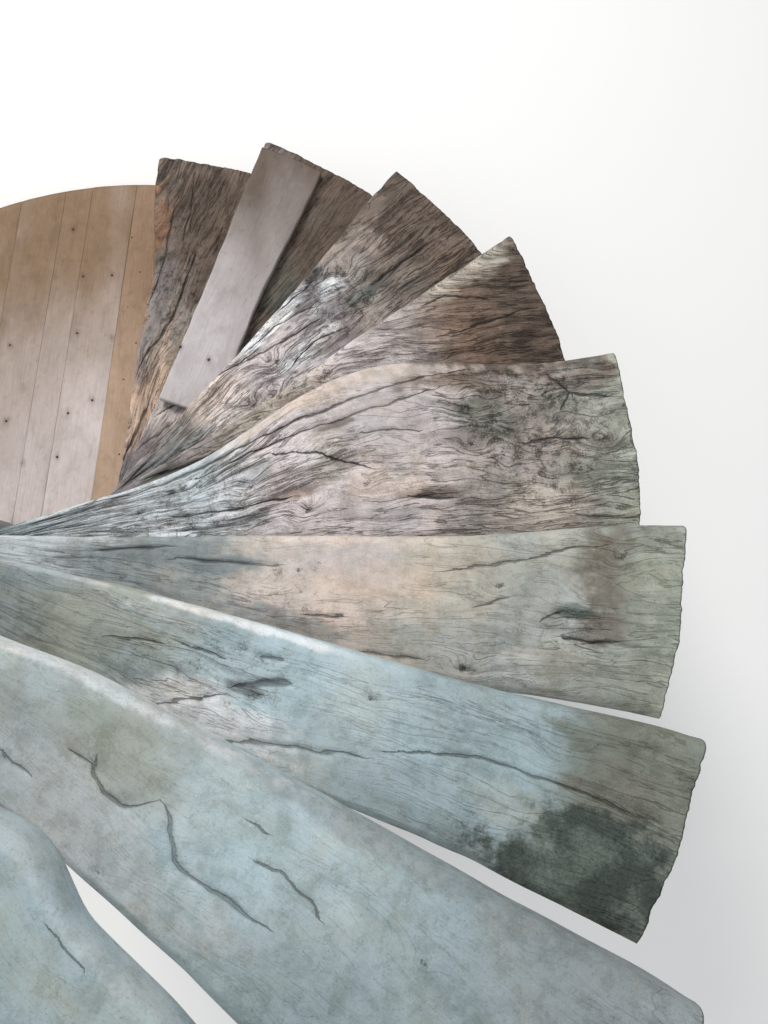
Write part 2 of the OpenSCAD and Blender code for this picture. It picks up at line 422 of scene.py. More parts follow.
def floor_piece(name, inner, outer, pale, brown, seed, count=16, steps=70, newel=0.0):
    """A floor board between two distances from the newel's middle, and the nails in it."""
    ahead, side = polar(1.0, BOARD_ANGLE), polar(1.0, BOARD_ANGLE + 90)
    across, height = eased_bar(inner, outer, BOARD_LOW, BOARD_HIGH, count)
    rim = np.sqrt(np.maximum(LANDING_RADIUS ** 2 - across ** 2, 0.0004)) - INSIDE
    start = np.maximum((BOARD_START - across * side[1]) / ahead[1], -rim + 0.002)
    start = np.maximum(start, np.sqrt(np.maximum(newel ** 2 - across ** 2, 0)))
    share = np.linspace(0, 1, steps)[:, None]
    along = start + (rim - start) * share
    plan = along[..., None] * ahead + (across[None] + 0 * along)[..., None] * side
    dish = BOARD_DISH * (1 + ripple(plan[..., 0] / 0.06, plan[..., 1] / 0.5, seed + 3))
    dish = dish * (height > BOARD_HIGH - 0.001)
    rings = np.concatenate([plan, (height - dish)[..., None]], -1)
    # Browner towards the landing's rim: painted warm light and shade on the boards and the strip,
    # dirt on the plank
    dirt_and_shade_share = smooth(np.hypot(plan[..., 0], plan[..., 1]), 0.42, 1.22)
    tone = plank_tones(plan, dirt_and_shade_share, NAILS, seed, pale, brown, tone_of(*NAIL_STAIN))
    here = [nail for nail in NAILS if inner + NAIL_MARGIN < side @ nail < outer - NAIL_MARGIN]
    grain = spread(along + seed, across, height)
    return skin_mesh(name, rings, {"tone": tone, "grain": grain}), here


edges = (STRIP_JOINT + (LANDING_RADIUS - STRIP_JOINT) * np.cumsum([0] + BOARD_SHARES)
         / sum(BOARD_SHARES))
for i, (near, far) in enumerate(zip(edges[:-1], edges[1:]), 1):
    name = f"nailed_board_{i}"
    mesh, here = floor_piece(name, near + DUST_JOINT, far,
                             tone_of(*BOARD_PALE) * (0.96 + 0.08 * (i % 3 == 1)),
                             tone_of(*BOARD_WARM_SHADE), 20 * i)
    joined(name, [mesh] + nail_heads(name, here, BOARD_HIGH - NAIL_SINK), pine,
           f"landing_board_{i}")

# The older strip. A narrow ochre board at the foot of the lowest tread, cut round the newel
# and nailed along both edges, left from the floor that was there before.
STRIP_WIDTH = 0.115
# The strip's ochre, and the brown towards the rim that is painted warm light and shade
STRIP_OCHRE, STRIP_WARM_SHADE = (196, 168, 144), (149, 121, 97)
NEWEL_RADIUS = 0.062
NEWEL_JOINT = 0.0008
STRIP_NAILS = [(0.01 - 0.035 * (j % 2), 0.30 + 0.13 * j) for j in range(8)]

mesh, _ = floor_piece("ochre_strip", STRIP_JOINT - STRIP_WIDTH, STRIP_JOINT,
                      tone_of(*STRIP_OCHRE), tone_of(*STRIP_WARM_SHADE), 311, 18, 80,
                      NEWEL_RADIUS + NEWEL_JOINT)
joined("ochre_strip",
       [mesh] + nail_heads("ochre_strip", STRIP_NAILS, BOARD_HIGH - NAIL_SINK, 0.003),
       pine, "landing_strip")

# The newel's foot. A drum worked round from the same old timber as the treads stands on the
# ground, up to the landing's surface, and carries the stack of the treads' own drums.
LANDING_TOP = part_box("newel_foot")[1].z
DRUM_EASE = 0.0025
AXE_MARK = 0.0012
# How deep the timber's fine relief looks, the colours of wet soot, and the near black painted as
# the shadow in an open split
TIMBER_BUMP = 0.0040
SOOT_PALE, SOOT_DARK = (112, 124, 114), (72, 82, 76)
SPLIT_SHADOW = (0.020, 0.019, 0.018, 1)

# Timber tones, from bleached to charred; the cool blues and steels and the warm browns also stand
# for painted daylight and painted warm light
TONES = {name: tone_of(*tone) for name, tone in {
    "white": (216, 217, 218), "mist": (190, 195, 197), "blue": (168, 183, 187),
    "steel": (148, 162, 165), "slate": (132, 139, 141), "grey": (160, 162, 156),
    "lilac": (188, 179, 178), "pink": (200, 187, 179), "peach": (192, 167, 148),
    "beige": (180, 171, 158), "olive": (148, 152, 140), "sage": (112, 116, 106),
    "tan": (152, 135, 121), "dust": (139, 130, 122), "mauve": (130, 123, 125),
    "ash": (152, 143, 138), "bark": (104, 91, 81), "brown": (122, 102, 88), "umber": (92, 78, 68),
    "char": (58, 54, 51), "moss": (80, 91, 85), "rust": (150, 108, 76)}.items()}


def drum_rings(k, low, high, tone):
    """A drum of the newel, with eased edges and the marks of the axe."""
    turns = np.linspace(0, 2 * np.pi, 72, endpoint=False)
    heights = np.concatenate([[0, 0.0015, 0.004], np.linspace(0.01, high - low - 0.01, 24),
                              [high - low - 0.004, high - low - 0.0015, high - low]])
    ease = DRUM_EASE * (1 - smooth(np.minimum(heights, heights[::-1]), 0, 0.004))
    radius = NEWEL_RADIUS * 0.9985 - ease[:, None] - AXE_MARK * (
        1 + ripple(turns[None] * 4 + 0 * heights[:, None], heights[:, None] / 0.03, 90 + k))
    rings = np.stack([radius * np.cos(turns), radius * np.sin(turns),
                      low + heights[:, None] + 0 * turns], -1)
    caps = np.concatenate([rings[-1:] * [f, f, 1] for f in (0.8, 0.5, 0.2)])
    base = np.concatenate([rings[:1] * [f, f, 1] for f in (0.2, 0.5, 0.8)])
    rings = np.concatenate([base, rings, caps])[:, ::-1]
    figure = rings[..., 0] / 0.015 + ripple(rings[..., 2] / 0.2, rings[..., 1] / 0.05, 60 + k)
    flow = np.stack([rings[..., 2], figure, rings[..., 1]], -1)
    return rings, {"tone": 0 * rings + tone, "weather": 0 * rings + [0.45, 0, 0], "flow": flow,
                   "crack": 0 * rings + [0.05, 0, 0]}


def timber_look(shade):
    tone, flow = shade.stored("tone"), shade.stored("flow")
    deep, furrow, knot = shade.stored("weather").parts()
    offset, open_by, stain = shade.stored("crack").parts()
    place = shade.node("ShaderNodeTexCoord", output=3)
    broad = flow.stretched((6, 1.0, 10)).noise(3.0, 0.6)
    streak = flow.stretched((15, 2.7, 26)).noise(4.0, 0.66)
    fibre = flow.stretched((30, 9, 70)).noise(2.0, 0.6)
    grit = place.stretched((300, 300, 300)).noise(3.0, 0.8)
    flake = place.stretched((42, 42, 42)).noise(5.0, 0.68)
    cloud = place.stretched((13, 13, 13)).noise(4.0, 0.64)
    tint = place.stretched((7.3, 7.3, 7.3)).noise(3.0, 0.66)

    # Lines along the grain: wide ones that are pressed in, darkened partly as grain and partly as
    # painted shade, and thin dark ones
    pressed = (abs(broad - 0.5) / (0.005 + 0.036 * deep)).between(0.15, 1.0, 1.0, 0.0) * deep
    groove = ((pressed / (deep + 0.05)) * streak.between(0.38, 0.56)
              * deep.between(0.05, 0.72, 0.03, 1.0))
    thin = ((abs(streak - 0.5) / (0.006 + 0.034 * deep)).between(0.1, 1.0, 1.0, 0.0)
            * cloud.between(0.38, 0.56) * deep.between(0.0, 0.7, 0.02, 1.0))

    # Streaks, clouds, warm and cool tints, flakes, fibres, furrows, lines and grit; the furrows are
    # darkened as painted shade
    bright = deep.between(0.0, 0.9).blend(tone.stretched((1.12, 1.13, 1.13)),
                                          tone.stretched((1.55, 1.55, 1.56)))
    colour = layered(bright, [
        (streak.between(0.5, 0.3) * (0.1 + 0.6 * deep), bright, (1.3, 1.3, 1.32)),
        (streak.between(0.5, 0.72) * (0.12 + 0.5 * deep), tone, (0.7, 0.68, 0.68)),
        (cloud.between(0.5, 0.66, 0.0, 0.55), tone, (0.7, 0.73, 0.7)),
        (cloud.between(0.5, 0.32, 0.0, 0.5), bright, (1.2, 1.2, 1.22)),
        (tint.between(0.5, 0.64, 0.0, 0.5), None, (1.1, 0.98, 0.86)),
        (tint.between(0.48, 0.36, 0.0, 0.5), None, (0.93, 1.02, 1.06)),
        (flake.between(0.54, 0.575, 0.0, 0.34), tone, (0.74, 0.75, 0.68)),
        (flake.between(0.46, 0.425, 0.0, 0.36), bright, (1.19, 1.19, 1.2)),
        (fibre.between(0.5, 0.75) * (0.12 + 0.6 * deep), tone, (0.42, 0.4, 0.39)),
        # The furrows are darkened as painted shade in their hollows; the pressed grooves partly so,
        # and partly as darker grain.
        (furrow * 0.7, tone, (0.26, 0.23, 0.22)),
        (thin * 0.65, tone, (0.38, 0.35, 0.34)),
        (groove * 0.8, tone, (0.22, 0.195, 0.19)),
        (grit.between(0.54, 0.74) * (0.4 + 0.37 * deep), tone, (0.22, 0.2, 0.19)),
        (grit.between(0.46, 0.28) * (0.3 + 0.35 * deep), bright, (1.4, 1.4, 1.42))])

    # Wet soot in the stains, then pits in the knots painted dark as their shadow, and the splits
    # painted near black as their shadow, with painted shade round their edges
    soaked = ((stain + (flake - 0.5) * 1.7 + (cloud - 0.5) * 1.8).between(0.35, 0.95, 0.0, 0.92)
              * stain.between(0.0, 0.15))
    soot = cloud.between(0.4, 0.58).blend(paint(SOOT_PALE), paint(SOOT_DARK))
    soot = grit.between(0.3, 0.7).blend(soot, soot.stretched((0.45, 0.45, 0.45)))
    knot_pit_shade = ((knot * 0.8 + (flake - 0.5) * 1.9 + (grit - 0.5) * 1.2).between(0.32, 0.85, 0.0, 0.85)
           * knot.between(0.02, 0.2))
    ragged = abs(offset + (streak - 0.5) * 0.010 + (grit - 0.5) * 0.003)
    ratio = ragged / (open_by + 0.0001)
    # A split's inside is painted near black as its shadow, and its edges get a painted grey shade.
    shadowed_split = ratio.between(0.15, 0.6, 1.0, 0.0) * (0.38 + 0.6 * deep)
    split_edge_shade = ratio.between(0.3, 1.5, 0.45, 0.0) * (0.5 + 0.5 * deep)
    colour = layered(soaked.blend(colour, soot), [
        (knot_pit_shade, tone, (0.13, 0.115, 0.105)), (split_edge_shade, tone, (0.42, 0.42, 0.42))])
    height = ((0.5 - streak) * deep * 1.2 - pressed * 0.8 - fibre * (0.1 + 0.2 * deep)
              - grit * (0.08 + 0.12 * deep) - shadowed_split)
    return shadowed_split.blend(colour, SPLIT_SHADOW), 0.64 + 0.25 * cloud + 0.1 * groove, height, TIMBER_BUMP


timber = finish_of("weathered_timber", timber_look)
foot = drum_rings(0, 0, LANDING_TOP, TONES["umber"] * 1.1)
joined("turned_newel_foot", [skin_mesh("turned_newel_foot", *foot)], timber,
       "newel_foot")

# The treads. Each is one hewn log: a blade that is walked on, and a drum at its root that
# stands on the drum below. The blades are worn hollow in the middle and rounded along the
# front, old and dry, with furrowed grain, knots and long splits, and ragged outer ends.
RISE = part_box("tread_02")[1].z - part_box("tread_01")[1].z
STAIR_RADIUS = 1.410
STEP_ANGLE = 16
FIRST_FRONT = 84.8
THICKNESS = 0.095
WEAR_DEPTH = 0.011
RAGGED_END = 0.005
END_FLARE = 0.015
ROOT_HAUNCH = 0.055
ROOT_STEP = 0.003
HEWN_WAVE = 0.004
HAUNCH_REACH = 0.28
LEAD_CENTRE = 0.24
FLARE_REACH = 0.3

# One row for each tread: turn, lap, both leads, swell with its centre and half length, wear,
# droop, and how far the outer end falls short at the front and the rear
TREADS = [
    (0.0, 0.8, 0, 0, 9, 0.95, 0.30, 1.3, 0, 6, 6),
    (-0.2, 0.8, 0, 0, 14, 0.98, 0.28, 0.9, 0, 0, 7),
    (-1.8, 0.6, 6, 0, 4, 0.55, 0.30, 1.1, 0, 0, 6),
    (-2.8, 0.5, -2, 0, 6, 0.75, 0.30, 1.2, 0, 0, 36),
    (-4.1, 0.6, 10, 8, 92, 0.61, 0.41, 1.3, 0, 0, 20),
    (-5.1, -1.0, -9, 0, -4, 0.45, 0.30, 1.2, 1, 4, 21),
    (-4.5, -0.5, -15, 6, 9, 0.53, 0.31, 1.1, 1, 16, 21),
    (-1.6, 0.8, 4, -26, 8, 0.33, 0.12, 1.0, 2, 0, 14),
    (-0.5, 0.6, -12, 10, 19, 0.44, 0.08, 0.9, 4, 5, 12),
    (0.8, 0.4, 4, -6, 9, 0.60, 0.30, 1.0, 4, 3, 15),
    (-0.6, 0.6, -4, 5, 16, 0.66, 0.25, 1.2, 6, 10, 18),
    (0.4, 0.3, 0, 0, -4, 0.50, 0.30, 0.9, 3, 5, 12),
    (-0.9, 0.5, 6, -8, 12, 0.58, 0.20, 1.1, 5, 14, 20),
    (0.5, 0.6, -3, 4, 7, 0.70, 0.25, 1.0, 4, 4, 16),
    (0.0, 0.4, 0, 0, 10, 0.60, 0.30, 0.8, 3, 9, 13)]

# A blade's skin from its front underside over the top to its rear underside: share of the
# width, share of the depth, 1 where it is underside, and steps to the next row on a fine tread
SKIN = [
    (0.05, 1.00, 1, 3), (0.01, 0.84, 1, 4), (0.00, 0.62, 0, 4), (0.00, 0.40, 0, 4),
    (0.01, 0.22, 0, 3), (0.035, 0.10, 0, 3), (0.08, 0.03, 0, 5), (0.15, 0.00, 0, 96),
    (0.84, 0.00, 0, 14), (0.95, 0.01, 0, 5), (1.00, 0.10, 0, 3), (0.998, 0.20, 0.2, 7),
    (0.982, 0.84, 0.9, 2), (0.98, 0.94, 1, 4), (0.70, 1.00, 1, 4), (0.38, 1.00, 1, 5)]

# The look of each tread, with places and strengths in percent: the grain's direction and bend
# in degrees, how furrowed it is, the furrows' pitch in mm, how far they follow the front edge,
# tones from root to outer end, patches (tone, along, across, half length, half width, strength),
# splits (width in mm, then points along and across), knots (along, across, size in mm), and
# worn, stained and knobbly places
# Each tread's tones are partly the timber's own colour and partly painted light: cool blues and
# steels for the daylight, brightest on the high treads and towards the newel, and warm browns,
# pinks and peaches for the dimmer warm light on the low treads and towards the wall.
LOOKS = {}
LOOKS[1] = dict(
    grain=(68, 4), rough=0.75, pitch=15,
    tones={0: "slate", 25: "mauve", 36: "peach", 50: "tan", 62: "dust", 75: "bark", 100: "bark"},
    patches=[("peach", 33, 15, 8, 20, 80), ("mauve", 66, 20, 14, 12, 60),
        ("umber", 92, 50, 12, 30, 80), ("rust", 85, 10, 8, 10, 50), ("peach", 55, 38, 10, 6, 60),
        # The umber band at 80 along and 56 across is painted shadow of the plank on the tread
        # above.
        ("umber", 80, 56, 20, 10, 80), ("rust", 70, 3, 20, 3, 50), ("mauve", 50, 10, 10, 10, 60)],
    splits=[(9, (44, 4), (50, 13), (56, 28), (62, 37), (70, 41), (80, 45)),
        (9, (20, -2), (24, 2), (30, 20), (38, 31), (41, 36)), (6, (62, 5), (75, 14), (90, 20)),
        (5, (80, 30), (90, 34), (97, 33))], knots=[(72, 25, 9)], knobbly=[(70, 30, 20, 40, 80)])
LOOKS[2] = dict(
    grain=(53, 3), rough=0.6, pitch=14,
    tones={0: "slate", 20: "mauve", 30: "mauve", 36: "lilac", 50: "lilac", 60: "bark", 75: "umber",
        100: "umber"},
    # The char and moss patches at the rear, beside the plank, are partly old dirt and partly
    # painted shade under the plank's edge and the third tread's front.
    patches=[("pink", 35, 15, 6, 20, 60), ("char", 60, 75, 15, 15, 50),
        ("moss", 70, 60, 10, 20, 40), ("umber", 93, 70, 10, 20, 60), ("mauve", 96, 6, 6, 20, 90)],
    splits=[(6, (24, 2), (27, 12), (31, 30), (37, 45)), (5, (33, 10), (40, 35), (50, 50)),
        (6, (70, 70), (80, 80), (95, 84))], knots=[], knobbly=[])
LOOKS[3] = dict(
    grain=(38, 5), rough=1.0, pitch=19,
    tones={0: "slate", 22: "mauve", 33: "dust", 40: "pink", 52: "lilac", 60: "lilac", 69: "mauve",
        79: "dust", 90: "bark", 100: "bark"},
    patches=[("white", 60, 8, 12, 10, 100), ("white", 63, 50, 9, 10, 80),
        ("pink", 44, 20, 10, 20, 60), ("char", 73, 6, 3, 6, 90), ("char", 82, 50, 12, 4, 60),
        ("tan", 62, 85, 12, 10, 70), ("white", 73, 25, 5, 8, 70), ("moss", 77, 46, 5, 6, 60),
        ("ash", 84, 20, 8, 15, 50), ("umber", 97, 30, 6, 30, 60), ("slate", 30, 40, 10, 30, 60)],
    splits=[(9, (20, 55), (30, 78), (40, 87), (50, 98)),
        (7, (21, 30), (26, 48), (33, 66), (42, 78)), (6, (44, 0), (50, 13), (56, 17)),
        (6, (50, 14), (60, 29), (68, 38)), (5, (50, 8), (60, 12), (68, 24), (70, 30)),
        (5, (57, 53), (64, 50), (70, 58)), (6, (60, 0), (68, 8), (73, 10)),
        (6, (80, 46), (86, 50), (95, 53))],
    knots=[(50.5, 66, 12), (53, 65, 9), (56, 40, 9), (78, 25, 12), (73, 6, 14), (55, 33, 8),
        (47, 60, 10)], knobbly=[(74, 40, 8, 40, 100), (52, 60, 8, 25, 80)])
LOOKS[4] = dict(
    grain=(17, -30), rough=0.9, pitch=15,
    tones={0: "slate", 25: "mauve", 38: "dust", 50: "beige", 62: "lilac", 79: "ash", 86: "brown",
        92: "umber", 100: "umber"},
    patches=[("moss", 25, 20, 6, 12, 60), ("lilac", 68, 38, 14, 7, 80), ("tan", 50, 30, 9, 30, 30),
        ("tan", 55, 20, 10, 10, 50), ("umber", 95, 50, 12, 50, 60), ("beige", 90, 6, 9, 10, 100),
        ("beige", 97, 5, 5, 10, 60), ("brown", 86, 40, 8, 40, 50)],
    splits=[(10, (20, 33), (28, 38), (40, 40.5), (50, 42), (63, 47)),
        (7, (32, 49), (45, 50), (53, 52), (58, 55), (66, 55), (75, 60)),
        (7, (22, 10), (30, 26), (36, 30)), (7, (56, 62), (60, 66), (64, 65)),
        (6, (73, 73), (78, 74)), (5, (80, 10), (85, 12), (93, 30)), (5, (80, 60), (90, 68)),
        (5, (82, 35), (92, 42), (98, 44))], knots=[(53, 6, 10), (50, 7, 8), (60, 15, 9)],
    knobbly=[(55, 12, 10, 12, 80), (40, 20, 10, 20, 50)])
LOOKS[5] = dict(
    grain=(5, -4), rough=0.85, pitch=17, follow=1.0,
    worn=[(56, 5, 25, 7, -60), (62, 60, 10, 10, -30), (66, 30, 10, 22, -30), (25, 60, 20, 30, 20)],
    tones={0: "steel", 20: "mist", 36: "mist", 45: "lilac", 56: "lilac", 69: "lilac", 77: "ash",
        87: "ash", 100: "olive"},
    patches=[("umber", 81, 1, 17, 14, 100), ("brown", 76, 12, 10, 6, 60),
        ("umber", 95, 14, 6, 7, 70), ("char", 77, 27, 2.5, 4, 70), ("pink", 60, 6, 20, 6, 90),
        ("dust", 90, 35, 13, 40, 40), ("dust", 62, 35, 9, 20, 30), ("sage", 80, 33, 5, 12, 60),
        ("sage", 93, 60, 6, 10, 50), ("sage", 90, 25, 5, 8, 50), ("umber", 71, 69, 6, 3.5, 80),
        ("pink", 63, 60, 8, 10, 50), ("char", 29, 25, 1.5, 4, 90), ("beige", 55, 45, 5, 15, 50),
        ("beige", 85, 75, 8, 15, 60), ("slate", 42, 40, 6, 8, 70), ("umber", 57, 27, 3, 2, 70),
        ("slate", 40, 70, 6, 6, 60), ("brown", 50, 60, 5, 5, 60)],
    splits=[(6, (14, 10), (25, 12), (36, 12), (42, 13), (48, 15), (55, 18), (62, 16), (70, 11),
         (80, 5)), (5, (30, 20), (42, 21), (50, 24), (57, 25.5), (65, 23), (75, 15)),
        (5, (45, 28), (52, 38), (58, 50), (62, 55)), (6, (90, 8), (93, 20), (91, 30)),
        (5, (60, 35), (65, 36), (70, 38)), (7, (66, 70), (70, 72), (74, 72)),
        (6, (85, 45), (90, 42), (95, 44)), (6, (93, 20), (99, 24)),
        (5, (28, 50), (36, 56), (42, 60), (50, 62))],
    knots=[(77, 27, 15), (31, 25, 12), (51, 72, 10), (77, 45, 10), (60, 62, 8), (97, 45, 12),
        (42, 45, 10)], knobbly=[(87, 35, 13, 45, 100), (32, 50, 12, 40, 80)])
LOOKS[6] = dict(
    grain=(-6, 5), rough=0.30, pitch=20,
    worn=[(55, 30, 12, 35, -20), (88, 62, 5, 20, 40), (25, 60, 15, 30, 15)],
    tones={0: "blue", 14: "mist", 25: "slate", 38: "grey", 47: "pink", 58: "pink", 68: "beige",
        78: "grey", 88: "grey", 100: "olive"},
    patches=[("slate", 25, 35, 5, 20, 70), ("slate", 33, 30, 10, 30, 100),
        ("sage", 92.5, 25, 5, 50, 70), ("bark", 91.5, 30, 4, 45, 60), ("mist", 16, 15, 10, 20, 80),
        ("moss", 87, 50, 3, 5, 80), ("mist", 75, 80, 10, 20, 40), ("moss", 75, 89, 2, 3, 80),
        ("slate", 50, 85, 8, 14, 60), ("olive", 97, 30, 5, 30, 60), ("lilac", 56, 25, 8, 20, 60),
        ("grey", 70, 80, 10, 15, 50), ("slate", 35, 70, 10, 20, 60), ("peach", 62, 40, 8, 20, 40)],
    splits=[(5, (68, 30), (72, 26), (80, 20), (86, 13), (91, 13)),
        (6, (32, 34), (35.5, 31), (37, 34), (44, 33.5), (48, 32)),
        (6, (22, 30), (28, 20), (33, 16.5)), (5, (74, 53), (78.5, 44)),
        (7, (86, 65), (90, 67), (94, 64)), (7, (83, 58), (86, 50)), (4, (52, 74), (58, 70)),
        (5, (60, 92), (70, 88))], knots=[(50, 36, 6), (77, 37, 8), (75, 89, 10), (93, 20, 9)],
    knobbly=[(50, 50, 6, 30, 50), (85, 60, 8, 30, 40)])
LOOKS[7] = dict(
    grain=(-14, -12), rough=0.27, pitch=18,
    worn=[(45, 60, 12, 30, 25), (68, 75, 13, 22, -20), (50, 5, 30, 12, -40)],
    tones={0: "steel", 12: "slate", 20: "slate", 30: "olive", 42: "steel", 52: "blue", 62: "blue",
        72: "steel", 84: "steel", 91: "sage", 100: "sage"},
    # The white and mist bands along the front at 5 across are partly worn clean and partly painted
    # highlight on the rounded nosing.
    patches=[("white", 47, 5, 15, 5, 90), ("mist", 20, 5, 14, 5, 70), ("white", 49, 82, 10, 20, 80),
        ("slate", 33, 45, 7, 25, 60), ("mist", 33, 20, 10, 10, 40), ("olive", 30, 40, 10, 30, 60),
        ("sage", 95, 25, 10, 25, 80), ("olive", 82, 62, 5, 12, 70), ("sage", 94, 50, 6, 14, 90),
        ("bark", 93, 35, 6, 25, 30), ("sage", 93, 12, 8, 12, 70), ("blue", 72, 65, 12, 20, 40),
        ("slate", 20, 20, 10, 20, 50), ("char", 50.5, 57, 3, 5, 70)],
    splits=[(14, (48.8, 60), (50, 54), (52, 47), (55, 39)), (4, (33, 61), (37, 52), (40, 45)),
        (5, (67, 62), (70, 55), (74.5, 48), (78, 43), (85, 42.5), (91, 43.5), (98, 46)),
        (5, (50, 93), (54, 85), (60, 76), (67, 67)), (3, (42, 92), (45, 78), (49, 66)),
        (4, (40, 40), (47, 40)), (6, (50, 29), (53, 25))], knots=[(64, 31, 5)],
    stains=[(93, 68, 10, 20, 115), (90, 87, 10, 20, 110), (98, 85, 8, 25, 90)],
    knobbly=[(48, 45, 10, 40, 45)])
LOOKS[8] = dict(
    grain=(-35, 3), rough=0.10, pitch=26,
    tones={0: "blue", 25: "blue", 42: "grey", 55: "blue", 64: "blue", 74: "steel", 90: "slate",
        100: "slate"},
    patches=[("mist", 42, 80, 20, 30, 70), ("olive", 43, 22, 7, 15, 60),
        # The slate band along the front at 75 along and 4 across is painted shade where the nosing
        # turns away from the light.
        ("slate", 75, 4, 30, 7, 70), ("slate", 94, 20, 6, 14, 70), ("olive", 46, 45, 5, 12, 50),
        # The white band along the front at 2 across is partly worn clean and partly painted
        # highlight on the nosing.
        ("white", 35, 2, 20, 6, 60), ("slate", 30, 50, 10, 20, 40), ("olive", 60, 30, 6, 15, 30),
        ("slate", 70, 60, 8, 20, 35)],
    splits=[(4.5, (42.5, 43), (43.5, 53), (45.5, 59), (48, 58.5), (49, 52), (50, 44)),
        (6, (50, 44), (52, 49), (53.5, 58), (55, 63.5), (57.5, 64.5), (61, 63), (66, 60.5)),
        (3.5, (60, 41), (63, 38.5), (66, 41), (69, 45)), (3, (35.5, 73.5), (40, 74)),
        (3, (57, 27), (60, 27)), (3, (40, 52), (43, 50))], knots=[(51, 90, 5), (78, 35, 4)],
    knobbly=[])
LOOKS[9] = dict(
    grain=(-52, 3), rough=0.05, pitch=26, follow=1.0,
    tones={0: "slate", 40: "steel", 60: "steel", 100: "steel"},
    # The mist band along the front is partly worn clean and partly painted highlight on the
    # nosing's rim.
    patches=[("olive", 52, 25, 5, 12, 35), ("mist", 45, 3, 20, 6, 40)],
    splits=[(3, (50, 10), (52, 8), (55, 10))], knots=[], knobbly=[])
for k in range(10, 16):
    LOOKS[k] = dict(LOOKS[(7, 8, 6)[k % 3]], grain=(76 - 16 * k, 4 - 3 * (k % 4)),
                    rough=0.2 + 0.1 * (k % 3), stains=[])

# How far in mm a rear edge swells under the next tread's front edge, at percentages along it
REAR_SWELL = {
    6: {30: 0, 45: 9, 60: 15, 70: 17, 77: 14, 82: 9, 87: 4, 93: 0},
    7: {0: 0, 5: 18, 12: 27, 35: 25, 52: 24, 60: 21, 68: 11, 75: 3, 80: 0},
    8: {0: 0, 5: 20, 10: 30, 34: 33, 38: 26, 43: 15, 50: 11, 62: 0}}

# Stations along a blade, and how finely its skin is stepped
FINE, MIDDLE, COARSE = (236, 1.25), (180, 1.0), (80, 0.5)
MESHES = {1: (150, 0.9), 2: (150, 0.9), 3: FINE, 4: FINE, 5: FINE, 6: MIDDLE, 7: MIDDLE,
          8: MIDDLE, 9: (130, 0.8)}
# The length that the places along in LOOKS are percentages of
LOOK_LENGTH = 1.390
# How deep the relief is cut: furrows and the ridges between them, hewing, lumps and the bumps
# on them, knots, and the rough underside; a split's share of its width; and chips at the end
FURROW_DEPTH, RIDGE_DEPTH, HEWN_DEPTH = 0.0036, 0.0016, 0.0022
LUMP_DEPTH, BUMP_DEPTH, KNOT_DEPTH, UNDER_DEPTH = 0.0045, 0.0035, 0.003, 0.004
SPLIT_SHARE, WIDEST_SPLIT = 0.6, 0.008
CHIP_DEPTH = 0.0035
# How far in from the rim each ring over the sawn outer end is drawn
END_INSETS = (0.004, 0.03, 0.12, 0.3, 0.55, 0.8)


def bell(x, centre, reach):
    """1 at the centre, and smoothly down to 0 at its reach on both sides."""
    return np.cos(np.clip((x - centre) / reach, -1, 1) * np.pi / 2) ** 2


def sine(degrees):
    return np.sin(np.radians(degrees))


def front_angle(k):
    """Where a tread's front edge meets the circle, in degrees."""
    return FIRST_FRONT - (k - 1) * STEP_ANGLE + TREADS[k - 1][0]


def rear_angle(k):
    after = front_angle(k + 1) if k < len(TREADS) else FIRST_FRONT - k * STEP_ANGLE
    return after - TREADS[k - 1][1]


def blade_plan(k, along, across):
    """Where a blade's skin lies in plan, the same as the CAD solid's."""
    lead, second_lead, swell, centre, reach, _, droop, short, rear_short = TREADS[k - 1][2:]
    front, rear = front_angle(k), rear_angle(k)
    scale = STAIR_RADIUS / 1000
    side = polar(1.0, front + 90)
    root_front = polar(NEWEL_RADIUS * 0.6, front) + lead * scale * side
    root_rear = polar(NEWEL_RADIUS * 0.9, rear - 90)
    inner = root_front + (root_rear - root_front) * across[..., None]
    end = (STAIR_RADIUS - scale * (short + (rear_short - short) * across)
           - RAGGED_END * 0.5 * (1 - sine(90 + (430 + 31 * k) * across)))
    outer = polar(end, front + (rear - front) * across)
    bulge = (scale * (swell * bell(along, centre, reach)
                      + second_lead * bell(along, LEAD_CENTRE, LEAD_CENTRE)
                      - 1.5 * droop * bell(along, 1, 0.07))
             + END_FLARE * bell(along, 1, FLARE_REACH)
             + HEWN_WAVE * sine(700 * along + 83 * k) * sine(180 * along))
    return inner + (outer - inner) * along[..., None] + (bulge * (1 - across))[..., None] * side


def blade_depth(k, along, across, share, under):
    """Depth of a blade's skin below its drum's top, the same as the CAD solid's."""
    wear, droop = TREADS[k - 1][7:9]
    worn = (ROOT_STEP + WEAR_DEPTH * wear * bell(along, 0.56, 0.44) * bell(across, 0.22, 0.62)
            + droop * STAIR_RADIUS / 1000 * bell(along, 1, 0.22) * bell(across, 0, 0.6)
            + HEWN_WAVE * 0.5 * (1 + sine(390 * along + 61 * k + 200 * across)) * sine(180 * along))
    top = worn + share * THICKNESS
    bottom = (share * (THICKNESS + ROOT_HAUNCH * bell(along, 0, HAUNCH_REACH))
              - HEWN_WAVE * 0.5 * (1 - sine(530 * along + 47 * k + 160 * across))
              * sine(180 * along))
    return top * (1 - under) + bottom * under


def skin_ring(fineness):
    """The skin's rows with their steps filled in and its corners eased."""
    ring = []
    for i, row in enumerate(SKIN):
        after = SKIN[(i + 1) % len(SKIN)]
        steps = max(1, round(row[3] * fineness))
        for j in range(steps):
            ring.append([a + (b - a) * j / steps for a, b in zip(row[:3], after[:3])])
    ring = np.array(ring)
    for _ in range(2):
        ring = (np.roll(ring, 1, 0) + 2 * ring + np.roll(ring, -1, 0)) / 4
    return ring.T


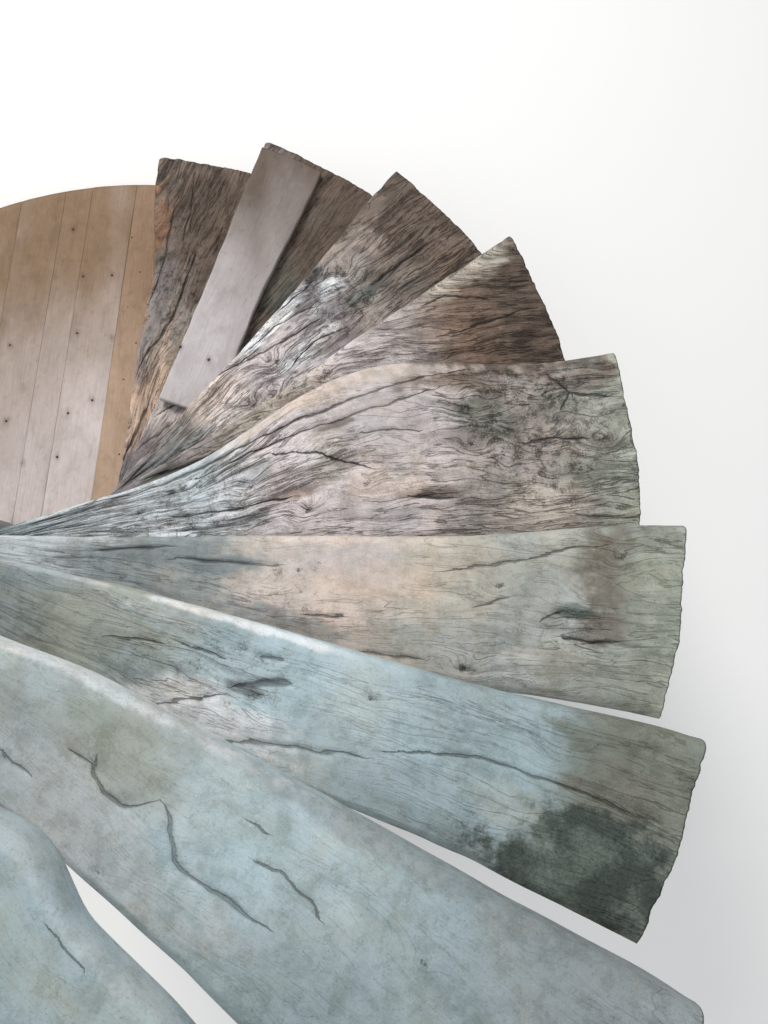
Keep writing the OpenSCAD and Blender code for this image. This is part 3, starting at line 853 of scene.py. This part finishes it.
def grain_of(k, points):
    """Along, across and up the log's grain at points of a tread, in metres."""
    angle, bend = LOOKS[k]["grain"]
    ahead, side = polar(1.0, angle), polar(1.0, angle + 90)
    u, v = points[..., :2] @ ahead, points[..., :2] @ side
    v = v - math.radians(bend) * np.abs(u) * (u / STAIR_RADIUS - 1) * 0.5
    v = v / (0.42 + 0.58 * smooth(u, 0.0, 0.75))
    v = (v + 0.010 * ripple(u / 0.33, v / 0.12, 11 * k)
         + 0.004 * ripple(u / 0.11, v / 0.05, 11 * k + 1))
    return np.stack([u + 1.7 * k, v + 0.6 * k, points[..., 2]], -1)


def shares(rows):
    """Rows of percentages as shares, with names as they are."""
    return [[cell if isinstance(cell, str) else cell / 100 for cell in row] for row in rows]


def nearest_split(splits, x, y, width_at, wander, seed):
    """Signed distance to the nearest split, and how wide it stands open there, in metres."""
    offset, open_by = np.full(x.shape, 0.05), np.zeros(x.shape)
    x, y = x + wander[0], y + wander[1]
    for number, (wide, *path) in enumerate(splits):
        line = np.array([(s * LOOK_LENGTH, t * width_at(s)) for s, t in shares(path)])
        runs = np.linalg.norm(np.diff(line, axis=0), axis=1)
        starts = np.concatenate([[0], np.cumsum(runs)])
        near = ((x > line[:, 0].min() - 0.03) & (x < line[:, 0].max() + 0.03)
                & (y > line[:, 1].min() - 0.03) & (y < line[:, 1].max() + 0.03))
        px, py = x[near], y[near]
        best, sign, place = np.full(px.shape, 1.0), np.ones(px.shape), np.zeros(px.shape)
        for (x0, y0), (x1, y1), run, start in zip(line[:-1], line[1:], runs, starts):
            dx, dy = (x1 - x0) / run, (y1 - y0) / run
            t = np.clip((px - x0) * dx + (py - y0) * dy, 0, run)
            ex, ey = px - x0 - t * dx, py - y0 - t * dy
            gap = np.hypot(ex, ey)
            closer = gap < best
            best = np.where(closer, gap, best)
            sign = np.where(closer, np.sign(dx * ey - dy * ex), sign)
            place = np.where(closer, start + t, place)
        share = place / starts[-1]
        taper = smooth(np.minimum(share, 1 - share), 0, 0.22) ** 0.6
        wide = wide / 1000 * taper * (0.8 + 0.5 * ripple(place / 0.05, 0 * place, seed + number))
        wide = wide * (1 - smooth(best, 0.5 * wide + 0.005, 0.5 * wide + 0.011))
        closer = best < np.abs(offset[near])
        offset[near] = np.where(closer, best * sign, offset[near])
        open_by[near] = np.where(closer, wide, open_by[near])
    return offset, open_by


def inward(rings):
    """The unit normals of rings of points, pointing into the timber."""
    along = np.gradient(rings, axis=0)
    around = np.roll(rings, -1, 1) - np.roll(rings, 1, 1)
    normal = np.cross(along, around)
    return normal / np.maximum(np.linalg.norm(normal, axis=-1, keepdims=True), 1e-9)


def blade_rings(k):
    """A tread's blade: its rings of points, and what its material reads at each point."""
    look = LOOKS[k]
    stations, fineness = MESHES.get(k, COARSE)
    across, share, under = skin_ring(fineness)
    along = np.append(np.linspace(0.02, 0.9975, stations - 1), 1.0)
    along = along[:, None] * np.ones_like(across)[None]
    across, share, under = (a[None] * np.ones_like(along) for a in (across, share, under))
    chips = (0.5 + 0.5 * ripple(across * 14, share * 3.0 + 7, 31 * k)
             + 0.3 * ripple(across * 37, share * 8, 31 * k + 1))
    along = along - (bell(along, 1, 0.04) * CHIP_DEPTH * np.clip(chips, 0, 1)
                     * smooth(across, 0.02, 0.12))
    plan = blade_plan(k, along, across)
    swells = REAR_SWELL.get(k, {0: 0})
    rear_swell = np.interp(along * 100, list(swells), list(swells.values()))
    rear_swell = rear_swell / 1000 * smooth(across, 0.5, 1.0)
    plan = plan - rear_swell[..., None] * polar(1.0, front_angle(k) + 90)
    depth = blade_depth(k, along, across, share, under)
    top = LANDING_TOP + k * RISE
    rings = np.concatenate([plan, (top - depth)[..., None]], -1)
    grain = grain_of(k, rings)
    u, v = grain[..., 0], grain[..., 1] - 1.4 * (top - rings[..., 2])
    front = blade_plan(k, along, np.zeros_like(along))
    width = np.linalg.norm(front - blade_plan(k, along, np.ones_like(along)), axis=-1)
    edge = grain_of(k, np.concatenate([front, rings[..., 2:]], -1))[..., 1]
    v = v - look.get("follow", 0) * (1 - smooth(across, 0.05, 0.75)) * (edge - edge.mean())
    upper = 1 - under
    x, y = along * STAIR_RADIUS, across * width
    length = x / LOOK_LENGTH

    def width_at(s):
        return np.interp(s * LOOK_LENGTH / STAIR_RADIUS, along[:, 0], width[:, 0])

    def reach(s, t, long, wide):
        """How far out in an oval each point lies: 0 in its middle, 1 on its edge."""
        return np.hypot((length - s) / long, (across - t) / wide)

    # The figure counts the grain's lines, which bend round the knots and swirl where it is
    # knobbly; furrows run along it, and break off
    lumps, stain, knot = np.zeros_like(x), np.zeros_like(x), np.zeros_like(x)
    for *oval, strength in shares(look["knobbly"]):
        lumps = np.maximum(lumps, strength * (1 - smooth(reach(*oval), 0.6, 1.2)))
    for *oval, strength in shares(look.get("stains", [])):
        stain = np.maximum(stain, strength * (1 - smooth(reach(*oval), 0.3, 1.5)))
    swirl = ripple(u / 0.055, v / 0.035, 13 * k)
    figure = (v / (look["pitch"] / 1000) + 0.9 * ripple(u / 0.30, v / 0.09, 13 * k + 1)
              + 0.4 * ripple(u / 0.10, v / 0.035, 13 * k + 2) + 0.4 * lumps * swirl)
    for s, t, size in look["knots"]:
        s, t, size = s / 100, t / 100, size / 1000
        dx, dy = (x - s * LOOK_LENGTH) / (size * 1.5), (y - t * width_at(s)) / size
        figure = figure + np.exp(-(dx * dx + dy * dy) / 5) * size / 0.010
        knot = np.maximum(knot, np.exp(-(dx * dx + dy * dy) * 1.3) * upper)
    knot = np.maximum(knot, 0.56 * lumps * upper)
    patchy = (0.6 * ripple(u / 0.09, v / 0.035, 5 * k)
              + 0.4 * ripple(u / 0.03, v / 0.014, 5 * k + 1)
              + 0.25 * ripple(u / 0.012, v / 0.006, 5 * k + 4))
    rough = look["rough"] * (0.85 + 0.55 * ripple(u / 0.22, v / 0.07, 5 * k + 2)) - 0.15 * lumps
    for *oval, change in shares(look.get("worn", [])):
        rough = rough + change * (1 - smooth(reach(*oval) + 0.3 * patchy, 0.4, 1.2))
    deep = np.clip(rough + 0.2 * smooth(along, 0.88, 1.0), 0, 1)
    ridge = ripple(u / 0.16, figure * 0.62, 5 * k + 3)
    furrow = (smooth(1 - 2.6 * np.abs(ridge), 0, 0.9)
              * smooth(ripple(u / 0.13, v / 0.03, 5 * k + 6), -0.5, 0.3)
              * deep * smooth(along, 0.03, 0.1))

    wander = (0.003 * ripple(u / 0.03, v / 0.02, 7 * k),
              0.0035 * ripple(u / 0.035, v / 0.02, 7 * k + 1)
              + 0.0012 * ripple(u / 0.012, v / 0.01, 7 * k + 2))
    offset, open_by = nearest_split(look["splits"], x, y, width_at, wander, 90 * k)
    open_by = open_by * upper * smooth(0.3 - share, 0, 0.1)
    split = (1 - smooth(np.abs(offset), 0.001, 0.007)) * np.minimum(open_by, WIDEST_SPLIT)
    bumps = smooth(ripple(u / 0.026, v / 0.02, 3 * k + 4), -0.4, 0.5)
    relief = (FURROW_DEPTH * furrow + RIDGE_DEPTH * deep * (0.5 + 0.5 * ridge)
              + HEWN_DEPTH * (0.5 + 0.5 * ripple(u / 0.10, v / 0.05, 3 * k + 2))
              + lumps * (LUMP_DEPTH * (0.5 + 0.5 * swirl) + BUMP_DEPTH * bumps)
              + SPLIT_SHARE * split + KNOT_DEPTH * knot
              + UNDER_DEPTH * (1 - upper) * (0.5 + 0.5 * ripple(u / 0.07, v / 0.06, 3 * k + 3)))
    rings = rings + inward(rings) * relief[..., None]

    tones = np.array([TONES[name] for name in look["tones"].values()])
    stops = np.array(list(look["tones"])) / 100
    tone = np.stack([np.interp(length + 0.03 * patchy, stops, part) for part in tones.T], -1)
    for name, *oval, strength in shares(look["patches"]):
        weight = strength * (1 - smooth(reach(*oval) + 0.8 * patchy, 0.5, 1.2)) * (1 - 0.7 * under)
        tone = tone + (TONES[name] - tone) * weight[..., None]
    # The underside is turned towards a darker dull tan: painted shade under the blade.
    tone = tone + (TONES["tan"] * 0.75 - tone) * (0.6 * under)[..., None]

    # The sawn outer end: the last ring drawn in over it, a little inside the solid's
    lead = rings[-1]
    centre = lead.mean(0)
    caps = []
    for j, inset in enumerate(END_INSETS):
        cap = centre + (lead - centre) * (1 - inset)
        cap[:, :2] *= 1 - (0.002 + 0.003 * min(j, 2)) / STAIR_RADIUS
        caps.append(cap)
    caps = np.array(caps)
    cap_flow = np.stack([caps @ [0.6, 0.8, 0] + 5, caps[..., 2] * 40, caps @ [0.8, -0.6, 0]], -1)

    def capped(values, scale):
        return np.concatenate([values, np.repeat(values[-1:] * scale, len(caps), 0)])

    return np.concatenate([rings, caps]), {
        "tone": capped(tone, 0.9),
        "flow": np.concatenate([np.stack([u, figure, rings[..., 2]], -1), cap_flow]),
        "weather": capped(np.stack([deep, furrow, knot], -1), 1),
        "crack": capped(np.stack([offset, open_by, stain * upper], -1), [1, 0, 1])}


for k in range(1, len(TREADS) + 1):
    name = f"hewn_tread_{k:02d}"
    # The drums run from bark brown on the low treads to steel blue on the high ones: the same
    # painted change from dim warm light to cool daylight as the blades' tones.
    daylight_share = min(max((k - 2) / 7, 0), 1)
    drum_tone = TONES["bark"] + (TONES["steel"] - TONES["bark"]) * daylight_share
    drum = drum_rings(k, LANDING_TOP + (k - 1) * RISE, LANDING_TOP + k * RISE, drum_tone)
    joined(name, [skin_mesh(name, *blade_rings(k)), skin_mesh(name, *drum)], timber,
           f"tread_{k:02d}")

# The newer plank. Sawn softwood, planed and greyed, nailed on the worn second tread with its
# inner end cut square and its outer end cut round.
PLANK_START, PLANK_LENGTH, PLANK_WIDTH = 0.533, 0.850, 0.200
PLANK_SETBACK, PLANK_SKEW, PLANK_GAP = 1.9, 2.3, 0.040
PLANK_NAILS = [(0.267, 0.643), (0.350, 0.604)]
PLANK_PALE, PLANK_BROWN, PLANK_STAIN = (204, 197, 198), (104, 90, 79), (84, 74, 72)
# How deep the edges are nibbled, how far the rear edge is worn back, and the face dished
PLANK_NIBBLE, PLANK_WORN, PLANK_DISH = 0.0022, 0.036, 0.0010
plank_low, plank_high = (corner.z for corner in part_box("tread_plank_02"))
corner = polar(PLANK_START, front_angle(2) - PLANK_SETBACK)
ahead = polar(1.0, front_angle(2) + PLANK_SKEW)
side = polar(1.0, front_angle(2) + PLANK_SKEW - 90)
across, height = eased_bar(0.0, PLANK_WIDTH, plank_low, plank_high, 26, 0.0025)
share = np.linspace(0, 1, 150)[:, None]
base = corner + across[:, None] * side
reach = STAIR_RADIUS - PLANK_GAP - INSIDE
run = -base @ ahead + np.sqrt((base @ ahead) ** 2 - (base ** 2).sum(1) + reach ** 2)
run = np.minimum(run, PLANK_LENGTH - INSIDE)
along = INSIDE + (run - INSIDE) * share
plan = base[None] + along[..., None] * ahead
nibble = PLANK_NIBBLE * (1 + ripple(along / 0.05, height / 0.01 + 0 * along, 811)) * (
    1.0 * (across < 0.01) - (across > PLANK_WIDTH - 0.01))
worn_back = PLANK_WORN * smooth(along, PLANK_LENGTH, 0.30) * smooth(across, 0.1, PLANK_WIDTH)
plan = plan + (nibble - worn_back)[..., None] * side
dish = PLANK_DISH * (1 + ripple(along / 0.2, across / 0.05 + 0 * along, 812))
dish = dish * (height > plank_high - 0.001)
rings = np.concatenate([plan, (height - dish)[..., None]], -1)
tone = plank_tones(plan, smooth(along / PLANK_LENGTH, 0.15, 1.0), PLANK_NAILS, 813,
                   tone_of(*PLANK_PALE), tone_of(*PLANK_BROWN), tone_of(*PLANK_STAIN))
mesh = bar_mesh("newer_plank", rings, tone, spread(along, across, height))
joined("newer_plank",
       [mesh] + nail_heads("newer_plank", PLANK_NAILS, plank_high - 0.001, 0.0045),
       pine, "tread_plank_02")
